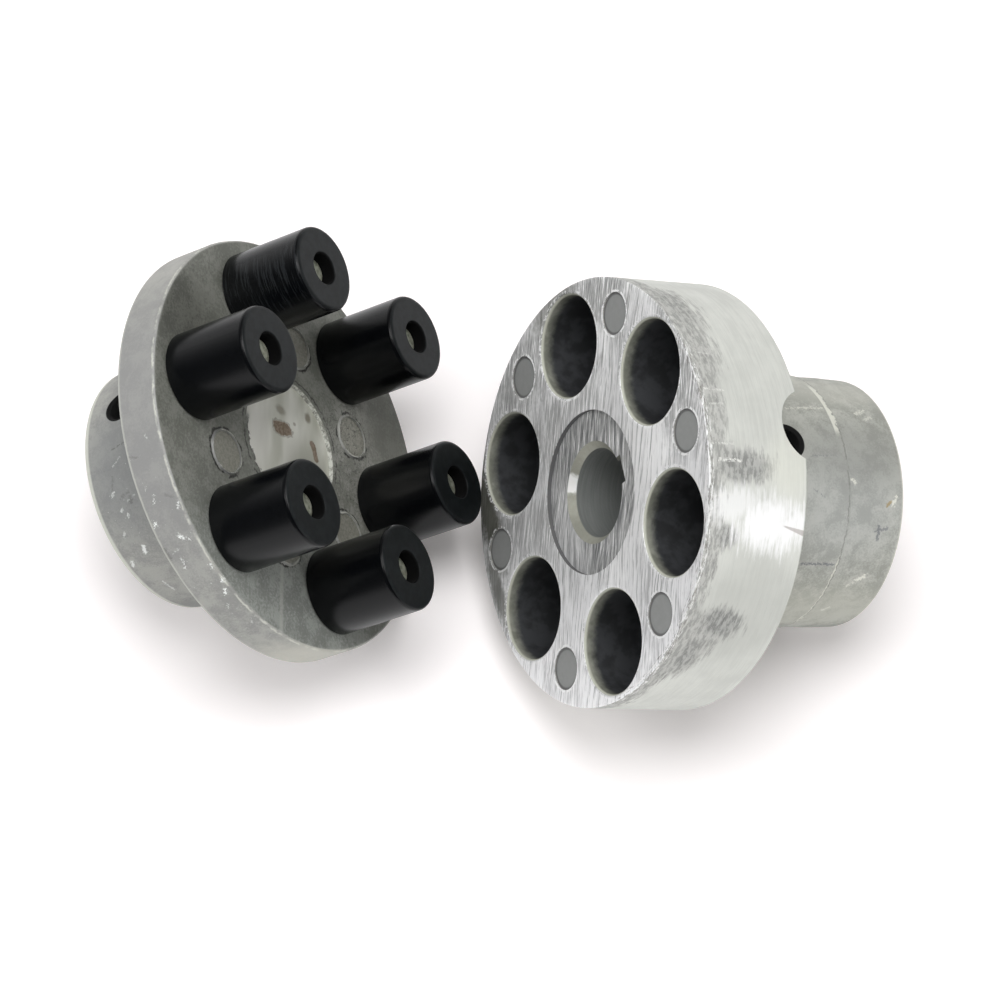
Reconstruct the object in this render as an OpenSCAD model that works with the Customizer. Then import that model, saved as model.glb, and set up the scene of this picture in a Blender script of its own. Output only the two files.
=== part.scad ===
// Elastic pin and bush shaft coupling, shown uncoupled.
// A cast aluminium pin half carries six steel pins with rubber bushes, and a
// cast and machined socket half has six blind sockets that take the bushes.
// Each half lies on its side, on the back rim of its flange and the end of its hub.
// Each half is drawn with its mating face at z = 0, its axis on Z and its hub below,
// and its own zero angle level with the ground. +X is to the right, +Y is away.

/* [Flanges] */
// Outside diameter of the machined socket flange
socket_flange_d = 120; // [100:1:150]
// Metal between the bottoms of the sockets and the back of their flange
socket_floor = 7; // [6:0.5:12]
// Outside diameter of the cast pin flange
pin_flange_d = 121; // [100:1:150]
// Thickness of the pin flange
pin_flange_t = 13; // [10:0.5:20]
// Rounding of the flange rims and hub ends that touch the ground
edge_r = 1; // [0.5:0.1:2]
// Small break on the mating edge of the machined flange
face_edge_r = 0.4; // [0.2:0.1:1]

/* [Hubs] */
// Diameter of each hub at its free end
hub_end_d = 71; // [56:0.5:86]
// Length of the socket half's hub behind its flange
socket_hub_len = 50; // [38:0.5:64]
// Length of the pin half's hub behind its flange
pin_hub_len = 33; // [27:0.5:44]
// Draft of the cast hubs, in degrees on each side
hub_draft = 2; // [0.5:0.5:3]
// Fillet between hub and flange
root_fillet = 2; // [1:0.5:5]
// Distance of the mould's parting step from the free end of the socket hub
step_from_end = 19; // [12:0.5:30]
// Height of the parting step on the socket hub
step_h = 0.4; // [0.2:0.1:1]

/* [Shaft bores] */
// Shaft bore of the socket half, right through
socket_bore_d = 25; // [18:0.5:32]
// Shaft bore of the pin half, blind from the hub end
pin_bore_d = 25; // [18:0.5:32]
// Metal left between the pin half's bore and its face recess
bore_floor = 5; // [3:0.5:8]
// Width of the keyways
key_w = 8; // [5:0.5:10]
// Depth of the keyways beyond the bore
key_depth = 3.3; // [2:0.1:4]
// Chamfer of the socket half's bore inside the face recess
bore_mouth = 1.9; // [0.5:0.1:3]
// Chamfer of the bores at the hub ends
bore_end_chamfer = 1; // [0.5:0.1:2]

/* [Face details] */
// Diameter of the socket half's face recess
socket_recess_d = 46; // [36:1:50]
// Diameter of the pin half's face recess
pin_recess_d = 40; // [34:1:46]
// Depth of both face recesses
recess_depth = 1.5; // [0.5:0.1:3]
// Diameter of the ejector pin marks
mark_d = 12; // [8:0.5:13]
// Depth of the ejector pin marks in the socket face
mark_depth = 0.4; // [0.2:0.1:0.8]
// Distance of the socket half's marks from its rim, to their centres
mark_inset = 9.7; // [8:0.1:12]
// How far the pin half's marks lie inside the pitch circle, to their centres
mark_offset = 11.5; // [10:0.5:13]
// Width of the raised flash ring round each mark on the pin half
flash_w = 0.7; // [0.4:0.1:1.2]
// Height of that flash ring
flash_h = 0.5; // [0.2:0.1:1]

/* [Pins and bushes] */
// Number of pins, bushes and sockets
pin_count = 6; // [4:1:7]
// Diameter of the steel pins
pin_d = 9; // [6:0.5:12]
// How far the pin ends stay below the bush ends
pin_recess = 3.5; // [1:0.5:6]
// Width of the rounded nose at the free end of each pin
pin_nose = 1.4; // [0.5:0.1:2]
// Running gap between a pin and its hole in the flange, on radius
pin_fit = 0.01; // [0:0.01:0.05]
// Outside diameter of the rubber bushes
bush_d = 25; // [20:0.5:31]
// Length of the rubber bushes
bush_len = 27; // [21:0.5:34]
// Rounding of the free end of each bush
bush_edge_r = 1.3; // [0.5:0.1:2.5]
// Gap between a bush and its pin, on radius
bush_fit = 0.03; // [0:0.01:0.1]

/* [Sockets] */
// How much wider than a bush each socket is, on diameter
socket_play = 4; // [1:0.5:5]
// Gap between the two flange faces when the coupling is together
face_gap = 4; // [2:0.5:6]
// How much deeper than a bush reaches each socket is
socket_spare = 2; // [1:0.5:4]
// Metal between a socket and the flange's rim
rim_wall = 2; // [1.5:0.1:6]
// Rounding of the socket mouths
mouth_r = 1; // [0.5:0.1:1.4]

/* [Set screws] */
// Core diameter of the tapped set screw holes
tap_d = 8.5; // [6:0.1:10.5]
// Diameter of the countersink at the mouth of a tapped hole
tap_mouth_d = 10.4; // [8:0.1:13]
// Distance of the socket half's set screw behind its flange
socket_screw_back = 11.4; // [8:0.1:20]
// Distance of the pin half's set screw behind its flange
pin_screw_back = 20.3; // [10:0.1:22]
// Length of the set screws
screw_len = 12; // [8:1:16]
// Gap between a set screw and the core of its thread, on radius
screw_fit = 0.05; // [0:0.01:0.2]
// Width across flats of the hexagon sockets
hex_af = 5; // [3:0.5:6]
// Depth of the hexagon sockets
hex_depth = 5; // [3:0.5:7]
// Radius of the tool relief across the back rim of the socket flange
relief_r = 10.5; // [8:0.5:14]
// Distance of the relief's centre behind the flange
relief_back = 3.5; // [3.5:0.5:6]

/* [Lie of the two halves] */
// Direction that the socket face looks to, in plan
socket_heading = -163.6; // [-180:0.1:180]
// Turn of the keyway from upright, as the socket half lies
socket_key_turn = -4.2; // [-60:0.1:60]
// Turn of the sockets from the keyway, to the middle between two sockets
socket_pattern_turn = -6.5; // [-30:0.1:30]
// How far the bush ends reach past the nearest rim of the socket face, to the right
halves_overlap = 1.11; // [-20:0.01:2]
// Place of the socket half's face centre, away
socket_y = -8.65; // [-40:0.05:20]
// Direction that the pin face looks to, in plan
pin_heading = 4.2; // [-180:0.1:180]
// Turn of the set screw from upright, as the pin half lies
pin_screw_turn = -12.9; // [-60:0.1:60]
// Turn of the pins from the set screw, to the middle between two pins
pin_pattern_turn = -19.8; // [-30:0.1:30]
// Place of the pin half's face centre, to the right
pin_x = -57.7; // [-90:0.1:-50]
// Place of the pin half's face centre, away
pin_y = 6.25; // [-20:0.05:30]

/* [Hidden] */
$fn = 96;
eps = 0.01;
through = 1;
socket_d = bush_d + socket_play;
socket_depth = bush_len - face_gap + socket_spare;
socket_flange_t = socket_depth + socket_floor;
pitch_r = min(socket_flange_d, pin_flange_d) / 2 - rim_wall - socket_d / 2;
pitch_step = 360 / pin_count;
socket_len = socket_flange_t + socket_hub_len;
pin_half_len = pin_flange_t + pin_hub_len;
socket_web = pitch_r - socket_d / 2 - socket_recess_d / 2;
mouth_round = min(mouth_r, 0.8 * socket_web);
pin_tilt = lie_tilt(pin_flange_d / 2, pin_flange_t, hub_end_d / 2, pin_half_len);
socket_tilt = lie_tilt(socket_flange_d / 2, socket_flange_t, hub_end_d / 2, socket_len);
bush_reach = bush_len * cos(pin_tilt) * cos(pin_heading) + reach_x(pitch_r + bush_d / 2, pin_tilt, pin_heading);
socket_x = pin_x + bush_reach - halves_overlap + reach_x(socket_flange_d / 2, socket_tilt, socket_heading);
pin_reach = bush_len - pin_recess;
pin_tail_gap = 0.3;
pin_tail_chamfer = 0.6;
bush_bore_chamfer = 0.5;
key_gap = 0.5;
key_end_gap = 2;
screw_chamfer = 0.8;
cup_d = 5;
cup_depth = 1.2;
rubber = [0.07, 0.075, 0.08];
cast_grey = [0.62, 0.62, 0.6];
bright_metal = [0.8, 0.81, 0.8];
pin_steel = [0.66, 0.66, 0.63];
black_steel = [0.12, 0.12, 0.13];

// Points of an arc about a centre, from one angle to another
function arc(centre, r, from, to, steps = 6) =
    [for (i = [0:steps]) let (a = from + (to - from) * i / steps) centre + r * [cos(a), sin(a)]];

// Tilt at which a flange's back rim and its hub's end both touch level ground
function lie_tilt(flange_r, flange_t, end_r, len) = atan2(flange_r - end_r, len - flange_t);

// How far a circle reaches to the right of its centre, about an axis with a tilt and a heading
function reach_x(r, tilt, heading) = r * sqrt(1 - pow(cos(tilt) * cos(heading), 2));

// Hub radius at a height behind the face, narrowest at the free end
function hub_r(z, len) = hub_end_d / 2 + (z + len) * tan(hub_draft);

// Lays a half on the ground, with its face centre above a place in plan
module lay_down(x, y, heading, flange_r, flange_t, len) {
    tilt = lie_tilt(flange_r, flange_t, hub_end_d / 2, len);
    lift = (flange_t - edge_r) * sin(tilt) + (flange_r - edge_r) * cos(tilt) + edge_r;
    translate([x, y, lift])
        rotate([90 - tilt, 0, heading + 90])
            children();
}

module lay_socket_half() {
    lay_down(socket_x, socket_y, socket_heading, socket_flange_d / 2, socket_flange_t, socket_len)
        children();
}

module lay_pin_half() {
    lay_down(pin_x, pin_y, pin_heading, pin_flange_d / 2, pin_flange_t, pin_half_len)
        children();
}

// Copies a child to one place on a circle, numbered from the first
module at_pitch(i, start, r) {
    rotate([0, 0, start + i * pitch_step])
        translate([r, 0, 0])
            children();
}

module all_round(start, r) {
    for (i = [0:pin_count - 1])
        at_pitch(i, start, r)
            children();
}

// Points a child's Z axis outwards, square to the coupling's axis
module radially(angle, z) {
    rotate([0, 0, angle])
        translate([0, 0, z])
            rotate([0, 90, 0])
                children();
}

// Outline of a half from its axis to its rim, drafted hub and filleted root
module half_outline(flange_r, flange_t, len, face_r) {
    root_r = hub_r(-flange_t, len);
    end_r = hub_end_d / 2;
    polygon(concat(
        [[0, -len], [0, 0]],
        arc([flange_r - face_r, -face_r], face_r, 90, 0, 3),
        arc([flange_r - edge_r, -flange_t + edge_r], edge_r, 0, -90),
        arc([root_r + root_fillet, -flange_t - root_fillet], root_fillet, 90, 180),
        arc([end_r - edge_r, -len + edge_r], edge_r, 0, -90)
    ));
}

// Ring that takes the parting step off the free end of the socket hub
module step_ring() {
    top = -socket_len + step_from_end;
    rotate_extrude()
        polygon([
            [hub_r(top, socket_len) - step_h, top - step_h],
            [hub_r(top, socket_len) + through, top + through],
            [hub_r(top, socket_len) + through, -socket_len + step_from_end / 2],
            [hub_r(-socket_len + step_from_end / 2, socket_len), -socket_len + step_from_end / 2]
        ]);
}

// Keyed bore from a height below up to its floor, its keyway towards an angle
module keyed_bore(d, bottom, top, key_top, key_angle) {
    translate([0, 0, bottom])
        cylinder(d = d, h = top - bottom);
    rotate([0, 0, key_angle])
        translate([d / 4, -key_w / 2, bottom])
            cube([d / 4 + key_depth, key_w, key_top - bottom]);
}

// Blind hole down from the face with a rounded mouth
module socket_hole() {
    r = socket_d / 2;
    rotate_extrude()
        polygon(concat(
            [[0, through], [0, -socket_depth], [r, -socket_depth]],
            arc([r + mouth_round, -mouth_round], mouth_round, 180, 90, 4),
            [[r + mouth_round, through]]
        ));
}

// Tapped hole from outside a hub into the bore, with a countersunk mouth
module tapped_hole(angle, z, mouth_r_at) {
    countersink = (tap_mouth_d - tap_d) / 2;
    radially(angle, z) {
        cylinder(d = tap_d, h = mouth_r_at + through);
        translate([0, 0, mouth_r_at - countersink])
            cylinder(d1 = tap_d, d2 = tap_mouth_d + 2 * through, h = countersink + through);
    }
}

// Radial groove that lets a tool past the back rim, midway between two sockets
module tool_relief(angle) {
    z = -socket_flange_t - relief_back;
    radially(angle, z)
        translate([0, 0, hub_r(z, socket_len)])
            cylinder(r = relief_r, h = socket_flange_d / 2);
}

module socket_half() {
    key_angle = 90 + socket_key_turn;
    first = key_angle + socket_pattern_turn + pitch_step / 2;
    screw_z = -socket_flange_t - socket_screw_back;
    bore_top = -recess_depth;
    color(bright_metal)
        lay_socket_half()
            difference() {
                rotate_extrude()
                    half_outline(socket_flange_d / 2, socket_flange_t, socket_len, face_edge_r);
                step_ring();
                translate([0, 0, -recess_depth])
                    cylinder(d = socket_recess_d, h = recess_depth + through);
                keyed_bore(socket_bore_d, -socket_len - through, through, through, key_angle);
                translate([0, 0, bore_top - bore_mouth])
                    cylinder(d1 = socket_bore_d, d2 = socket_bore_d + 2 * (bore_mouth + eps), h = bore_mouth + eps);
                translate([0, 0, -socket_len - eps])
                    cylinder(d1 = socket_bore_d + 2 * (bore_end_chamfer + eps), d2 = socket_bore_d,
                             h = bore_end_chamfer + eps);
                all_round(first, pitch_r)
                    socket_hole();
                all_round(first + pitch_step / 2, socket_flange_d / 2 - mark_inset)
                    translate([0, 0, -mark_depth])
                        cylinder(d = mark_d, h = mark_depth + through);
                tool_relief(key_angle + socket_pattern_turn);
                tapped_hole(key_angle, screw_z, hub_r(screw_z, socket_len));
            }
}

// Raised ring of flash left round an ejector pin
module flash_ring() {
    difference() {
        translate([0, 0, -eps])
            cylinder(d1 = mark_d + 2 * flash_w, d2 = mark_d + flash_w, h = flash_h + eps);
        translate([0, 0, -through])
            cylinder(d = mark_d, h = 2 * through + flash_h);
    }
}

module pin_half() {
    screw_angle = 90 + pin_screw_turn;
    first = screw_angle + pin_pattern_turn + pitch_step / 2;
    screw_z = -pin_flange_t - pin_screw_back;
    bore_top = -recess_depth - bore_floor;
    color(cast_grey)
        lay_pin_half()
            difference() {
                union() {
                    rotate_extrude()
                        half_outline(pin_flange_d / 2, pin_flange_t, pin_half_len, edge_r);
                    all_round(first + pitch_step / 2, pitch_r - mark_offset)
                        flash_ring();
                }
                translate([0, 0, -recess_depth])
                    cylinder(d = pin_recess_d, h = recess_depth + through);
                keyed_bore(pin_bore_d, -pin_half_len - through, bore_top, bore_top - key_end_gap, screw_angle);
                translate([0, 0, -pin_half_len - eps])
                    cylinder(d1 = pin_bore_d + 2 * (bore_end_chamfer + eps), d2 = pin_bore_d,
                             h = bore_end_chamfer + eps);
                all_round(first, pitch_r)
                    translate([0, 0, -pin_flange_t - through])
                        cylinder(d = pin_d + 2 * pin_fit, h = pin_flange_t + 2 * through);
                tapped_hole(screw_angle, screw_z, hub_r(screw_z, pin_half_len));
            }
}

// Pressed steel pin with a rounded nose
module drive_pin(i) {
    first = 90 + pin_screw_turn + pin_pattern_turn + pitch_step / 2;
    r = pin_d / 2;
    tail = -pin_flange_t + pin_tail_gap;
    color(pin_steel)
        lay_pin_half()
            at_pitch(i, first, pitch_r)
                rotate_extrude()
                    polygon(concat(
                        [[0, tail], [r - pin_tail_chamfer, tail], [r, tail + pin_tail_chamfer]],
                        arc([r - pin_nose, pin_reach - pin_nose], pin_nose, 0, 90, 5),
                        [[0, pin_reach]]
                    ));
}

// Rubber bush seated on the flange, over its pin
module rubber_bush(i) {
    first = 90 + pin_screw_turn + pin_pattern_turn + pitch_step / 2;
    inner = pin_d / 2 + bush_fit;
    outer = bush_d / 2;
    color(rubber)
        lay_pin_half()
            at_pitch(i, first, pitch_r)
                rotate_extrude()
                    polygon(concat(
                        [[inner, 0], [outer - bush_bore_chamfer, 0], [outer, bush_bore_chamfer]],
                        arc([outer - bush_edge_r, bush_len - bush_edge_r], bush_edge_r, 0, 90, 5),
                        [[inner + bush_bore_chamfer, bush_len], [inner, bush_len - bush_bore_chamfer]]
                    ));
}

// Cup point set screw with a hexagon socket, its cup towards the bore
module set_screw() {
    r = tap_d / 2 - screw_fit;
    difference() {
        rotate_extrude()
            polygon([
                [0, cup_depth], [cup_d / 2, 0], [r - screw_chamfer, 0], [r, screw_chamfer],
                [r, screw_len - screw_chamfer], [r - screw_chamfer, screw_len], [0, screw_len]
            ]);
        translate([0, 0, screw_len - hex_depth])
            cylinder(d = hex_af / cos(30), h = hex_depth + through, $fn = 6);
    }
}

module socket_half_set_screw() {
    color(black_steel)
        lay_socket_half()
            radially(90 + socket_key_turn, -socket_flange_t - socket_screw_back)
                translate([0, 0, socket_bore_d / 2 + key_depth + key_gap])
                    set_screw();
}

module pin_half_set_screw() {
    color(black_steel)
        lay_pin_half()
            radially(90 + pin_screw_turn, -pin_flange_t - pin_screw_back)
                translate([0, 0, pin_bore_d / 2 + key_depth + key_gap])
                    set_screw();
}

pin_half();
pin_half_set_screw();
socket_half();
socket_half_set_screw();
for (i = [1:pin_count])
    drive_pin(i - 1);
for (i = [1:pin_count])
    rubber_bush(i - 1);
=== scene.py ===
import math
from types import SimpleNamespace

import bpy
from mathutils import Matrix, Vector

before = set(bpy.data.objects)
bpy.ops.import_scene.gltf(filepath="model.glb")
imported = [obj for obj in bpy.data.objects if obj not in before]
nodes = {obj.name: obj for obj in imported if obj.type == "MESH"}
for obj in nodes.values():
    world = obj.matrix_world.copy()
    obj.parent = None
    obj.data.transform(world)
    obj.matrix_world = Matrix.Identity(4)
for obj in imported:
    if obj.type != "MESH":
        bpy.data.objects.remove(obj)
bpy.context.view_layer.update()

# Sizes of the coupling in mm, as in the CAD
EDGE_ROUND = 1.0
HUB_END_R = 35.5
HUB_DRAFT = math.tan(math.radians(2))
STEP_FROM_END = 19
BORE_R, BORE_MOUTH = 12.5, 1.9
SOCKET_RECESS_R, PIN_RECESS_R, RECESS_DEPTH = 23, 20, 1.5
MARK_R, MARK_DEPTH = 6, 0.4
SOCKET_MARK_CIRCLE_R, PIN_MARK_CIRCLE_R = 50.3, 32
PLACES, PLACE_CIRCLE_R = 6, 43.5
SOCKET_MOUTH_R, SOCKET_DEPTH = 15.5, 25
BUSH_LENGTH, PIN_R = 27, 4.5
TAP_MOUTH_R = 5.2

# Marks on both hubs are placed along an arc of this radius, in mm
HUB_ARC_R = 37

# The sanding runs at this angle across the socket half's face, in degrees
SCRATCH_LEAN = 146

# Colours that several surfaces share
WHITE = (1.0, 1.0, 1.0)
GLINT = (0.98, 0.98, 0.98)
SCREW_SHADE = (0.004, 0.004, 0.004)


class Half:
    """One half of the coupling as it lies on the back rim of its flange and the end of its hub.

    Its own axes, in mm: z along the shaft with 0 at the mating face, x level, y up the face.
    """

    def __init__(self, centre, heading, flange_r, flange_t, length, first_place, screw):
        self.flange_r, self.flange_t, self.length = flange_r, flange_t, length
        self.first_place = first_place
        self.screw_angle, self.screw_z = screw
        tilt = math.atan2(flange_r - HUB_END_R, length - flange_t)
        turn = math.radians(heading)
        self.x = Vector((-math.sin(turn), math.cos(turn), 0))
        self.z = Vector((math.cos(tilt) * math.cos(turn), math.cos(tilt) * math.sin(turn), math.sin(tilt)))
        self.y = self.z.cross(self.x)
        back = (flange_t - EDGE_ROUND) * math.sin(tilt)
        self.origin = Vector((*centre, back + (flange_r - EDGE_ROUND) * math.cos(tilt) + EDGE_ROUND))

    def hub_r(self, z):
        """The drafted hub's radius, in mm."""
        return HUB_END_R + HUB_DRAFT * (z + self.length)


SOCKET = Half(
    centre=(27.0982, -8.65), heading=-163.6, flange_r=60, flange_t=32, length=82,
    first_place=109.3, screw=(85.8, -43.4),
)
PIN = Half(
    centre=(-57.7, 6.25), heading=4.2, flange_r=60.5, flange_t=13, length=46,
    first_place=87.3, screw=(77.1, -33.3),
)


# Writing of node trees

class Val:
    """One output of a node, with arithmetic."""

    def __init__(self, tree, socket):
        self.tree, self.socket = tree, socket

    def __add__(self, other):
        return self.tree.math("ADD", self, other)

    def __radd__(self, other):
        return self.tree.math("ADD", other, self)

    def __sub__(self, other):
        return self.tree.math("SUBTRACT", self, other)

    def __rsub__(self, other):
        return self.tree.math("SUBTRACT", other, self)

    def __mul__(self, other):
        return self.tree.math("MULTIPLY", self, other)


class Tree:
    """The node tree of a material or a world."""

    def __init__(self, owner):
        self.owner = owner
        owner.use_nodes = True
        self.nodes, self.links = owner.node_tree.nodes, owner.node_tree.links
        self.nodes.clear()
        self.pairs = {}

    def node(self, kind, *values, **props):
        """A node with its first inputs fed."""
        n = self.nodes.new(kind)
        for key, value in props.items():
            setattr(n, key, value)
        for socket, value in zip(n.inputs, values):
            self.feed(socket, value)
        return n

    def feed(self, socket, value):
        if isinstance(value, Val):
            self.links.new(value.socket, socket)
        elif socket.type == "RGBA":
            socket.default_value = (*value, 1)
        else:
            socket.default_value = value

    def out(self, kind, name, *values):
        return Val(self, self.node(kind, *values).outputs[name])

    def math(self, operation, *values, clamp=False):
        n = self.node("ShaderNodeMath", *values, operation=operation, use_clamp=clamp)
        return Val(self, n.outputs[0])

    def vector_math(self, operation, *values):
        return Val(self, self.node("ShaderNodeVectorMath", *values, operation=operation).outputs["Vector"])

    def measure(self, operation, *values):
        """Vector maths that gives a number."""
        return Val(self, self.node("ShaderNodeVectorMath", *values, operation=operation).outputs["Value"])

    def scaled(self, vector, factor):
        n = self.node("ShaderNodeVectorMath", vector, operation="SCALE")
        self.feed(n.inputs["Scale"], factor)
        return Val(self, n.outputs["Vector"])

    def vec(self, x, y, z):
        return self.out("ShaderNodeCombineXYZ", 0, x, y, z)

    def step(self, x, start, end):
        """0 at start, 1 at end, smooth between."""
        n = self.node("ShaderNodeMapRange", interpolation_type="SMOOTHSTEP")
        low, high = (1.0, 0.0) if start > end else (0.0, 1.0)
        for socket, value in zip(n.inputs, (x, min(start, end), max(start, end), low, high)):
            self.feed(socket, value)
        return Val(self, n.outputs[0])

    def between(self, x, start, full, ending, end):
        """0 up to start and from end on, 1 from full to ending."""
        return self.step(x, start, full) * self.step(x, end, ending)

    def span(self, x, start, end, low, high):
        """low at start, high at end, straight between."""
        return self.out("ShaderNodeMapRange", 0, x, start, end, low, high)

    def noise(self, vector, scale=1.0, detail=2.0, rough=0.5, distort=0.0):
        n = self.node("ShaderNodeTexNoise", noise_dimensions="3D")
        self.feed(n.inputs["Vector"], vector)
        self.feed(n.inputs["Scale"], scale)
        self.feed(n.inputs["Detail"], detail)
        self.feed(n.inputs["Roughness"], rough)
        self.feed(n.inputs["Distortion"], distort)
        return Val(self, n.outputs["Fac"])

    def patchy(self, vector, scale, rough, start, end, detail=3):
        """1 in some places and 0 in the others."""
        return self.step(self.noise(vector, scale, detail, rough), start, end)

    def mix(self, share, a, b):
        """From colour a to colour b."""
        n = self.node("ShaderNodeMix", share, data_type="RGBA")
        self.feed(n.inputs[6], a)
        self.feed(n.inputs[7], b)
        return Val(self, n.outputs[2])

    def lerp(self, share, a, b):
        """From number a to number b."""
        n = self.node("ShaderNodeMix", share, data_type="FLOAT")
        self.feed(n.inputs[2], a)
        self.feed(n.inputs[3], b)
        return Val(self, n.outputs[0])

    def most(self, *masks):
        """The strongest of several masks."""
        strongest = masks[0]
        for mask in masks[1:]:
            strongest = self.math("MAXIMUM", strongest, mask)
        return strongest

    def from_point(self, point):
        """The way from a point of the row to the shaded point, in mm."""
        where = self.out("ShaderNodeTexCoord", "Object")
        return self.vector_math("SUBTRACT", self.scaled(where, 1000.0), point)

    def local(self, half):
        """The half's own coordinates in mm, radius, angle in degrees and how squarely a surface faces z."""
        way = self.from_point(half.origin)
        x, y, z = (self.measure("DOT_PRODUCT", way, axis) for axis in (half.x, half.y, half.z))
        r = self.math("SQRT", x * x + y * y)
        angle = self.math("ARCTAN2", y, x) * math.degrees(1)
        facing = self.measure("DOT_PRODUCT", self.out("ShaderNodeNewGeometry", "Normal"), half.z)
        return SimpleNamespace(x=x, y=y, z=z, r=r, angle=angle, p=self.vec(x, y, z), facing=facing)

    def pair(self, x, y):
        """Two values as one flat vector, made once for each pair."""
        key = id(x), id(y)
        if key not in self.pairs:
            self.pairs[key] = self.vec(x, y, 0.0), x, y
        return self.pairs[key][0]

    def line(self, distance, half_width, soft):
        """1 where a signed distance is near 0."""
        return self.step(self.math("ABSOLUTE", distance) - half_width, soft, 0.0)

    def stroke(self, x, y, start, end, half_width, warp):
        """A ragged line from one point to another, 1 on it."""
        way = Vector((end[0] - start[0], end[1] - start[1], 0))
        from_start = self.vector_math("SUBTRACT", self.pair(x, y), (*start, 0))
        along = self.measure("DOT_PRODUCT", from_start, way / way.length_squared)
        nearest = self.scaled(way, self.math("MULTIPLY", along, 1.0, clamp=True))
        distance = self.measure("DISTANCE", from_start, nearest) + warp
        return self.step(distance, half_width + 0.4, half_width - 0.05)

    def spot(self, x, y, cx, cy, rx, ry, soft=0.35, warp=None):
        """An oval patch, 1 inside, fading over soft of its size."""
        scale, shift = (1 / rx, 1 / ry, 0), (-cx / rx, -cy / ry, 0)
        distance = self.measure("LENGTH", self.vector_math("MULTIPLY_ADD", self.pair(x, y), scale, shift))
        if warp is not None:
            distance = distance + warp
        return self.step(distance, 1 + soft, 1 - soft)

    def strokes(self, x, y, warp, marks):
        """The strongest of several ragged lines: both ends, half width, strength."""
        return self.most(*[self.stroke(x, y, a, b, half_width, warp) * k for a, b, half_width, k in marks])

    def spots(self, x, y, warp, marks):
        """The strongest of several ragged spots: place, half sizes, strength."""
        return self.most(*[self.spot(x, y, cx, cy, rx, ry, 0.45, warp) * k for cx, cy, rx, ry, k in marks])

    def toned(self, x, y, base, patches, warp=None):
        """The base with soft patches: place, half sizes, share, colour."""
        for place, size, share, colour in patches:
            base = self.mix(self.spot(x, y, *place, *size, 0.6, warp) * share, base, colour)
        return base

    def layered(self, base, *layers):
        """The base covered by each layer in turn: mask, colour."""
        for mask, colour in layers:
            base = self.mix(mask, base, colour)
        return base

    def fold(self, at, first, circle_r):
        """Distance from the nearest of the places on a circle, in mm."""
        pitch = 360 / PLACES
        turned = self.math("FLOORED_MODULO", at.angle - (first - pitch / 2), pitch) - pitch / 2
        a = turned * math.radians(1)
        dx = at.r * self.math("COSINE", a) - circle_r
        dy = at.r * self.math("SINE", a)
        return self.math("SQRT", dx * dx + dy * dy)

    def screw_hole(self, half):
        """1 inside the set screw's hole, below the hub's skin."""
        angle = math.radians(half.screw_angle)
        outwards = half.x * math.cos(angle) + half.y * math.sin(angle)
        way = self.from_point(half.origin + half.z * half.screw_z)
        depth = self.measure("DOT_PRODUCT", way, outwards)
        reach = self.measure("LENGTH", way)
        beside = self.math("SQRT", self.math("MAXIMUM", reach * reach - depth * depth, 0.0))
        along = self.measure("DOT_PRODUCT", way, half.z)
        in_hole = self.step(beside, TAP_MOUTH_R + 0.2, TAP_MOUTH_R + 0.05) * self.step(depth, 12.0, 14.0)
        r = self.math("SQRT", depth * depth + beside * beside - along * along)
        skin_r = half.hub_r(half.screw_z)
        return in_hole * self.step(r, skin_r + 0.6, skin_r + 0.2)

    def surface(self, color, rough, metal, height, strength, distance, **extra):
        """The material's finish: colour, roughness, metal and bump, whose distance is in metres."""
        bump = self.node("ShaderNodeBump")
        for key, value in {"Strength": strength, "Distance": distance, "Height": height}.items():
            self.feed(bump.inputs[key], value)
        shader = self.node("ShaderNodeBsdfPrincipled")
        for key, value in {"Base Color": color, "Roughness": rough, "Metallic": metal, **extra}.items():
            self.feed(shader.inputs[key], value)
        self.links.new(bump.outputs[0], shader.inputs["Normal"])
        self.node("ShaderNodeOutputMaterial", Val(self, shader.outputs[0]))
        return self.owner


def arc_length(angle, radius):
    return angle * math.radians(radius)


def cast_skin(t, p, dark, light):
    """Colour and bump of as-cast aluminium between two greys."""
    big = t.noise(p, 0.05, 2, 0.55, 0.6)
    middle = t.noise(p, 0.25, 3, 0.6, 0.4)
    fine = t.noise(p, 1.8, 2, 0.65)
    shade = big * 0.4 + middle * 0.35 + fine * 0.25
    return t.mix(t.step(shade, 0.41, 0.59), dark, light), middle * 0.4 + fine * 0.6


# Socket half. A stroke has both ends, half width and strength; its ends are (mm round the axis, z).
# A spot or patch has its place and half sizes, which are (x, y) on the face or (degrees, z) round the axis

PALE_HUB_MARKS = [
    ((67, -47), (68.5, -60), 0.05, 0.55), ((67.2, -71), (69, -74.5), 0.25, 0.6),
    ((65, -73), (66.5, -76), 0.1, 0.5), ((44.4, -65), (45.2, -63.6), 0.2, 0.7),
    ((38.8, -77.9), (40.5, -79.1), 0.3, 0.8), ((14.4, -71), (16, -73.4), 0.35, 0.85),
    ((12, -69), (14, -71.2), 0.1, 0.6), ((2.5, -68.3), (1, -67), 0.2, 0.5),
    ((-6.5, -63), (-3, -62.9), 0.1, 0.7),
]
DARK_HUB_MARKS = [
    ((20.0, -50), (20.0, -61), 0.12, 0.75), ((51.5, -50.7), (52, -59), -0.1, 0.5),
    ((41.8, -50), (39.8, -54), -0.1, 0.5), ((28.1, -73.9), (31.8, -73.6), 0.25, 0.7),
    ((31.5, -76.5), (30.5, -72.5), 0.2, 0.6), ((55, -45), (50, -46), 0.3, 0.3),
]
# Painted light and shade round the socket half's hub: darker over the upper side, lighter behind and in
# front
HUB_LIGHT_AND_SHADE = [
    ((60, -60), (26, 22), 0.35, (0.4, 0.415, 0.425)),
    ((122, -60), (12, 40), 0.5, (0.56, 0.56, 0.5)),
    ((2, -60), (16, 40), 0.5, (0.5, 0.5, 0.43)),
    ((84, -68), (16, 22), 0.55, (0.27, 0.275, 0.255)),
]
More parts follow.
